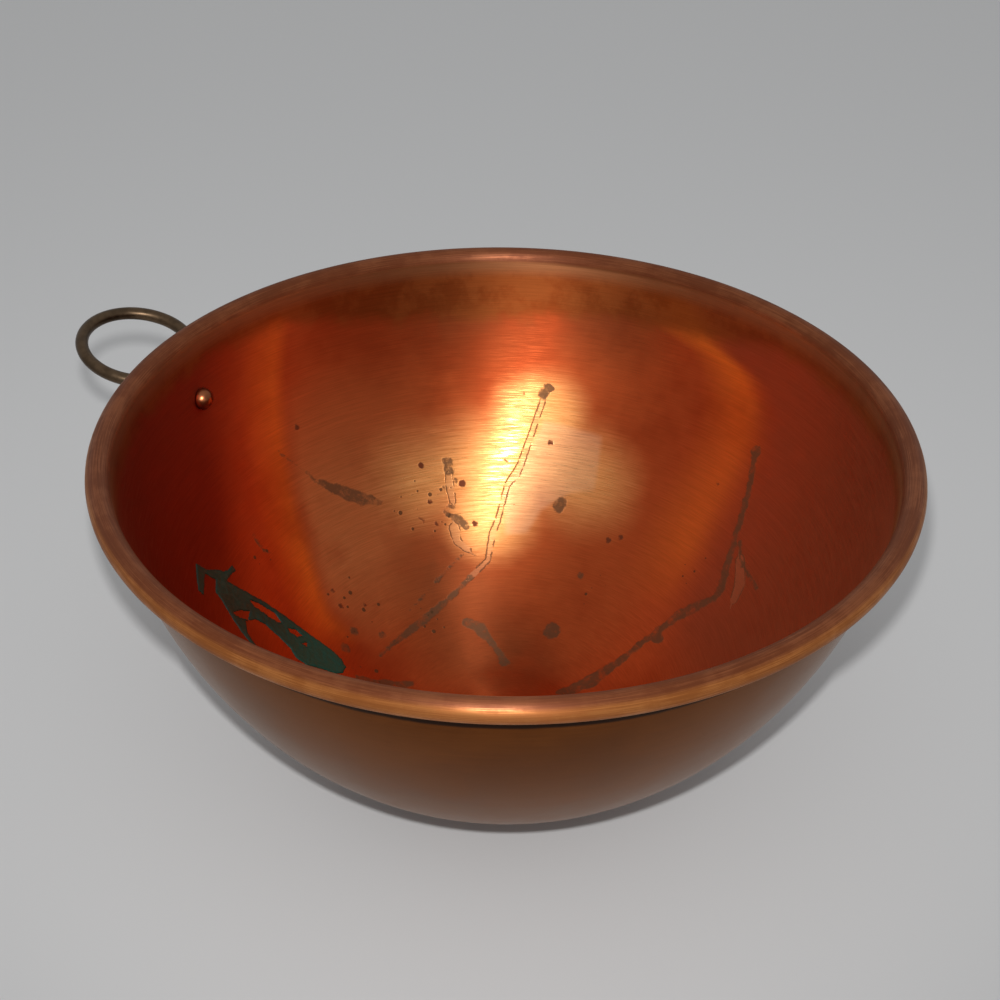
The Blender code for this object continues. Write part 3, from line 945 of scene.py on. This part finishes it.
    # Dried trails: a thin dark edge on each side of a slightly dulled strip.
    width = paint.attribute("trail_width")
    ragged = paint.blend(paint.noise(place, 700.0, 3.0, 0.6), -0.55, 0.55)
    across = paint.plus(paint.math("ABSOLUTE", paint.attribute("trail")), ragged)
    beyond = paint.math("SUBTRACT", across, width)
    present = paint.step(width, 0.3, 0.9)
    strip = paint.times(paint.step(beyond, 0.25, -0.25), present)
    line = paint.times(paint.step(paint.math("ABSOLUTE", beyond), 0.42, 0.12), present)
    line = paint.times(line, paint.step(paint.noise(place, 260.0, 2.0), 0.36, 0.50))
    base = paint.mix(paint.times(strip, 0.25), base, colour(0.55, 0.28, 0.14))
    base = paint.mix(paint.times(line, 0.7), base, colour(0.15, 0.060, 0.024))

    # Stains, spots and fine splashes.
    torn = paint.plus(ragged, paint.blend(paint.noise(place, 240.0, 3.0), -1.6, 1.6))
    stain = paint.step(paint.plus(paint.attribute("stain"), torn), 0.5, -0.5)
    stain = paint.times(stain, paint.step(paint.noise(place, 170.0, 4.0, 0.7), 0.25, 0.55))
    dried = paint.mix(smudge, colour(0.10, 0.044, 0.018), colour(0.17, 0.082, 0.040))
    base = paint.mix(paint.times(stain, 0.84), base, dried)
    spot = paint.step(paint.plus(paint.attribute("red_spot"), ragged), 0.35, -0.35)
    base = paint.mix(spot, base, colour(0.19, 0.048, 0.018))
    cells = paint.add("TexVoronoi", {"Vector": place, "Scale": 270.0, "Randomness": 1.0})
    chance = paint.add("SeparateColor", {0: cells.outputs["Color"]}).outputs[0]
    size = paint.plus(paint.times(paint.step(chance, 0.2, 1.0), 0.20), 0.07)
    area = paint.plus(paint.attribute("splash"), paint.blend(smudge, -4.0, 4.0))
    area = paint.step(area, 3.0, -3.0)
    size = paint.times(size, area)
    dots = paint.step(paint.math("SUBTRACT", cells.outputs["Distance"], size), 0.025, -0.025)
    dots = paint.times(dots, paint.step(area, 0.25, 0.45))
    base = paint.mix(paint.times(dots, 0.85), base, colour(0.10, 0.045, 0.018))

    # Marks are dull. Clean copper has hair-fine glossy lines, most of them in the streak.
    marks = paint.math("MAXIMUM", stain, spot)
    marks = paint.math("MAXIMUM", marks, paint.math("MAXIMUM", dots, line))
    hair = paint.noise(turned_place(paint, 12.0, 6500.0), 1.0, 2.0, 0.6)
    spark = paint.times(paint.step(hair, 0.50, 0.66), paint.blend(bright, 0.45, 0.9))
    rough = paint.blend(paint.times(spark, paint.blend(band, 1.0, 0.3)), 0.53, 0.20)
    rough = paint.blend(inside, 0.25, rough)
    rough = paint.blend(bead, rough, paint.blend(worn, 0.50, paint.blend(top, 0.30, 0.38)))
    rough = paint.plus(rough, paint.blend(smudge, -0.05, 0.05))
    rough = paint.blend(marks, rough, 0.55)
    metal = paint.blend(marks, paint.blend(bead, 1.0, 0.6), 0.8)
    grain = paint.blend(0.35, fine_lines, broad_lines)
    normal = paint.bump(grain, 0.00001, 1.0)
    normal = paint.bump(marks, 0.00004, 1.0, normal)

    # The brush lines' direction, slightly askew inside and more so low down.
    tangent = paint.add("Tangent", direction_type="RADIAL", axis="Z").outputs[0]
    upward = paint.add("VectorMath", {0: face, 1: tangent}, operation="CROSS_PRODUCT").outputs[0]
    low_down = paint.step(paint.attribute("along"), 200.0 * MM, 110.0 * MM)
    askew = paint.times(inside, paint.blend(low_down, -0.20, -0.42))
    swerve = paint.scaled(upward, askew)
    tangent = paint.add("VectorMath", {0: tangent, 1: swerve}, operation="ADD").outputs[0]
    tangent = paint.add("VectorMath", {0: tangent}, operation="NORMALIZE").outputs[0]
    paint.set(Base_Color=base, Metallic=metal, Roughness=rough, Normal=normal, Tangent=tangent)
    paint.shader.inputs["Anisotropic"].default_value = 0.75
    paint.shader.inputs["Specular Tint"].default_value = colour(0.93, 0.88, 0.82)
    paint.shader.inputs["Anisotropic Rotation"].default_value = 0.25
    return paint.material


def crust_material():
    paint = Paint("dried_crust")
    place = paint.place()
    lumps = paint.noise(place, 380.0, 5.0, 0.65)
    patches = paint.noise(place, 95.0, 4.0)
    patchy = paint.step(patches, 0.40, 0.62)
    green = paint.mix(patchy, colour(0.006, 0.013, 0.007), colour(0.003, 0.020, 0.012))
    teal = paint.step(paint.upward_part(place), 0.040, 0.022)
    green = paint.mix(paint.times(teal, 0.8), green, colour(0.001, 0.036, 0.021))
    green = paint.mix(paint.step(lumps, 0.62, 0.72), green, colour(0.010, 0.034, 0.020))
    normal = paint.bump(lumps, 0.0002, 0.8)
    paint.set(Base_Color=green, Roughness=paint.blend(lumps, 0.30, 0.60), Normal=normal)
    paint.shader.inputs["Specular IOR Level"].default_value = 0.3
    return paint.material


def plain_metal(name, base, roughness):
    paint = Paint(name)
    mottle = paint.noise(paint.place(), 260.0, 4.0)
    dark = tuple(channel * 0.7 for channel in base)
    shade = paint.mix(paint.step(mottle, 0.35, 0.65), colour(*dark), colour(*base))
    rough = paint.blend(mottle, roughness - 0.08, roughness + 0.12)
    normal = paint.bump(mottle, 0.00003, 0.6)
    paint.set(Base_Color=shade, Metallic=1.0, Roughness=rough, Normal=normal)
    return paint.material


# ---------------------------------------------------------------- assembly
def dress(obj, material, body, node):
    """Gives a piece its material and its body, and hides the CAD node it stands for."""
    obj.data.materials.clear()
    obj.data.materials.append(material)
    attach(obj, body)
    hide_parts(node)


fixing = fixing_matrix()
rivet_metal = plain_metal("rivet_copper", (0.36, 0.115, 0.048), 0.28)
brass = plain_metal("dark_brass", (0.135, 0.088, 0.052), 0.36)
dress(make_bowl(), copper_bowl_material(), "bowl", "bowl_shell")
crust = make_crust()
crust.data.materials.append(crust_material())
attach(crust, "bowl")
dress(make_rivet(fixing), rivet_metal, "bowl", "rivet")
dress(make_washer(fixing), rivet_metal, "bowl", "rivet_washer")
dress(make_strap(fixing), brass, "bowl", "ring_strap")
dress(make_ring(), brass, "ring", "hanging_ring")
rim_wire = frame["nodes"]["rim_wire"]
rim_wire.data.materials.clear()
rim_wire.data.materials.append(plain_metal("rim_steel", (0.35, 0.34, 0.33), 0.45))


# ---------------------------------------------------------------- stage, camera, lights
def view_matrix():
    """The camera's place: in front and above, looking at a point just beside the bowl's axis."""
    right = Vector((math.cos(VIEW_AZIMUTH), math.sin(VIEW_AZIMUTH), 0.0))
    ahead = Vector((-math.sin(VIEW_AZIMUTH), math.cos(VIEW_AZIMUTH), 0.0))
    forward = ahead * math.cos(CAMERA_PITCH) - Vector((0.0, 0.0, math.sin(CAMERA_PITCH)))
    aim = right * CAMERA_AIM_RIGHT + Vector((0.0, 0.0, CAMERA_AIM_HEIGHT))
    up = right.cross(forward)
    turn = Matrix((right, up, -forward)).transposed().to_4x4()
    roll = Matrix.Rotation(-CAMERA_ROLL, 4, "Z")
    return Matrix.Translation(aim - forward * CAMERA_DISTANCE) @ turn @ roll


def make_camera(place):
    data = bpy.data.cameras.new("camera")
    data.lens = LENS
    data.sensor_width = 36.0
    data.clip_start = 0.01
    camera = bpy.data.objects.new("camera", data)
    camera.matrix_world = place
    bpy.context.scene.collection.objects.link(camera)
    bpy.context.scene.camera = camera


def make_floor():
    shape = bmesh.new()
    bmesh.ops.create_grid(shape, x_segments=2, y_segments=2, size=4.0)
    mesh = bpy.data.meshes.new("floor")
    shape.to_mesh(mesh)
    shape.free()
    floor = new_object("floor", mesh)
    paint = Paint("floor")
    paint.set(Base_Color=colour(0.69, 0.69, 0.69), Roughness=0.7)
    mesh.materials.append(paint.material)


def make_lights(place):
    lamp = bpy.data.lights.new("lamp", "SPOT")
    lamp.shadow_soft_size = 0.009
    lamp.spot_size = math.radians(74)
    lamp.spot_blend = 1.0
    lamp.energy = 13.0
    lamp_object = bpy.data.objects.new("lamp", lamp)
    offset = Matrix.Translation((-LAMP_LEFT_OF_CAMERA, LAMP_ABOVE_CAMERA, 0.0))
    lamp_object.matrix_world = place @ offset @ Matrix.Rotation(LAMP_LIFT, 4, "X")
    bpy.context.scene.collection.objects.link(lamp_object)

    # Room light that is a little stronger from above.
    world = bpy.data.worlds.new("room")
    bpy.context.scene.world = world
    world.use_nodes = True
    tree = world.node_tree
    split = tree.nodes.new("ShaderNodeSeparateXYZ")
    tree.links.new(tree.nodes.new("ShaderNodeTexCoord").outputs["Generated"], split.inputs[0])
    rise = tree.nodes.new("ShaderNodeMapRange")
    rise.inputs["From Min"].default_value = -0.05
    rise.inputs["To Min"].default_value = 0.38
    rise.inputs["To Max"].default_value = 0.51
    tree.links.new(split.outputs[2], rise.inputs["Value"])
    background = tree.nodes["Background"]
    background.inputs["Color"].default_value = colour(0.98, 0.99, 1.0)
    tree.links.new(rise.outputs[0], background.inputs["Strength"])


camera_place = view_matrix()
make_camera(camera_place)
make_floor()
make_lights(camera_place)
bpy.context.scene.view_settings.view_transform = "Standard"
